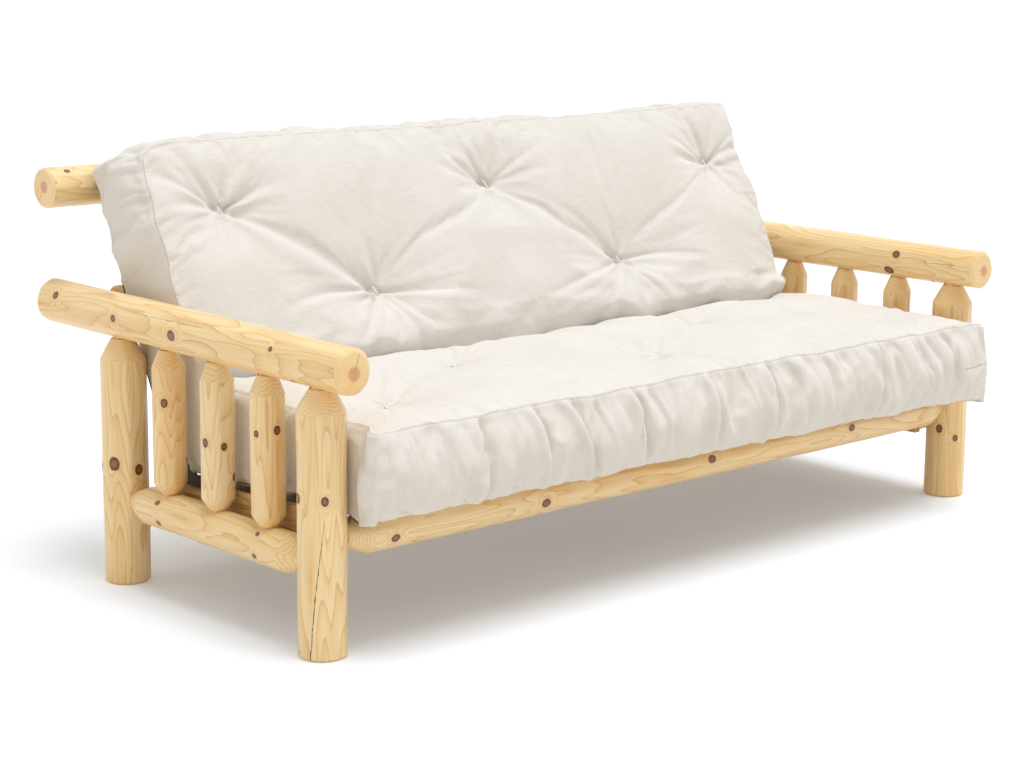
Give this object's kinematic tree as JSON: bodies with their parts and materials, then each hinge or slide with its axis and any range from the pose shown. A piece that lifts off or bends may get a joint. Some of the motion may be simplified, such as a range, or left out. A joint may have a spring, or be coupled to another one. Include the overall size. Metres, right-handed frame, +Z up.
{
  "type": "futon",
  "caption": "Rustic futon: peeled pine log frame with spindled arms, a slatted steel-railed deck that folds from sofa to bed, and a tufted cotton mattress.",
  "frame": {"origin": "middle of the footprint on the floor, in the sofa pose", "axes": "+X along the futon's length, +Y from front to back, +Z up"},
  "size_m": [2.132, 1.1448, 0.9675],
  "materials": {
    "peeled_pine": "clear satin lacquer over peeled pine logs with knots",
    "pine_board": "planed pine, unfinished",
    "dark_steel": "dark grey satin paint on mild steel",
    "plated_steel": "zinc plated fasteners",
    "black_nylon": "turned nylon",
    "natural_cotton": "natural unbleached cotton twill, tufted"
  },
  "bodies": {
    "frame": {"front_left_post": "peeled_pine", "front_right_post": "peeled_pine", "rear_left_post": "peeled_pine", "rear_right_post": "peeled_pine", "left_arm": "peeled_pine", "right_arm": "peeled_pine", "left_lower_rail": "peeled_pine", "right_lower_rail": "peeled_pine", "left_spindle_1": "peeled_pine", "left_spindle_2": "peeled_pine", "left_spindle_3": "peeled_pine", "right_spindle_1": "peeled_pine", "right_spindle_2": "peeled_pine", "right_spindle_3": "peeled_pine", "front_rail": "peeled_pine", "rear_rail": "peeled_pine", "left_ledger": "pine_board", "right_ledger": "pine_board", "left_guide_plate": "dark_steel", "right_guide_plate": "dark_steel", "left_ledger_screw": "plated_steel", "right_ledger_screw": "plated_steel", "left_front_guide_screw": "plated_steel", "left_rear_guide_screw": "plated_steel", "right_front_guide_screw": "plated_steel", "right_rear_guide_screw": "plated_steel"},
    "seat_deck": {"left_seat_rail": "dark_steel", "centre_seat_rail": "dark_steel", "right_seat_rail": "dark_steel", "seat_slat_1": "pine_board", "seat_slat_2": "pine_board", "seat_slat_3": "pine_board", "seat_slat_4": "pine_board", "seat_slat_5": "pine_board", "left_hinge_pin": "plated_steel", "centre_hinge_pin": "plated_steel", "right_hinge_pin": "plated_steel", "seat_mattress": "natural_cotton"},
    "back_deck": {"left_back_rail": "dark_steel", "centre_back_rail": "dark_steel", "right_back_rail": "dark_steel", "back_slat_1": "pine_board", "back_slat_2": "pine_board", "back_slat_3": "pine_board", "back_slat_4": "pine_board", "back_slat_5": "pine_board", "left_roller_pin": "plated_steel", "right_roller_pin": "plated_steel", "back_top_log": "peeled_pine", "back_cross_log": "peeled_pine", "left_top_log_bolt": "plated_steel", "centre_top_log_bolt": "plated_steel", "right_top_log_bolt": "plated_steel", "left_cross_log_bolt": "plated_steel", "centre_cross_log_bolt": "plated_steel", "right_cross_log_bolt": "plated_steel", "back_mattress": "natural_cotton"},
    "left_roller": {"left_roller": "black_nylon"},
    "right_roller": {"right_roller": "black_nylon"}
  },
  "joints": [
    {"name": "seat_glide", "type": "hinge", "parent": "frame", "child": "seat_deck", "pos_m": [0, -0.5042, -2.28582], "axis": [1, 0, 0], "range_deg": [0, 3.6]},
    {"name": "back_fold", "type": "hinge", "parent": "seat_deck", "child": "back_deck", "pos_m": [0, 0.13512, 0.24225], "axis": [-1, 0, 0], "range_deg": [0, 67.6]},
    {"name": "left_roller_turn", "type": "hinge", "parent": "back_deck", "child": "left_roller", "pos_m": [-0.9512, 0.17129, 0.20235], "axis": [1, 0, 0], "continuous": true},
    {"name": "right_roller_turn", "type": "hinge", "parent": "back_deck", "child": "right_roller", "pos_m": [0.9512, 0.17129, 0.20235], "axis": [1, 0, 0], "continuous": true}
  ],
  "couplings": [
    {"joint": "seat_glide", "follows": "back_fold", "ratio": 0.05325}
  ]
}
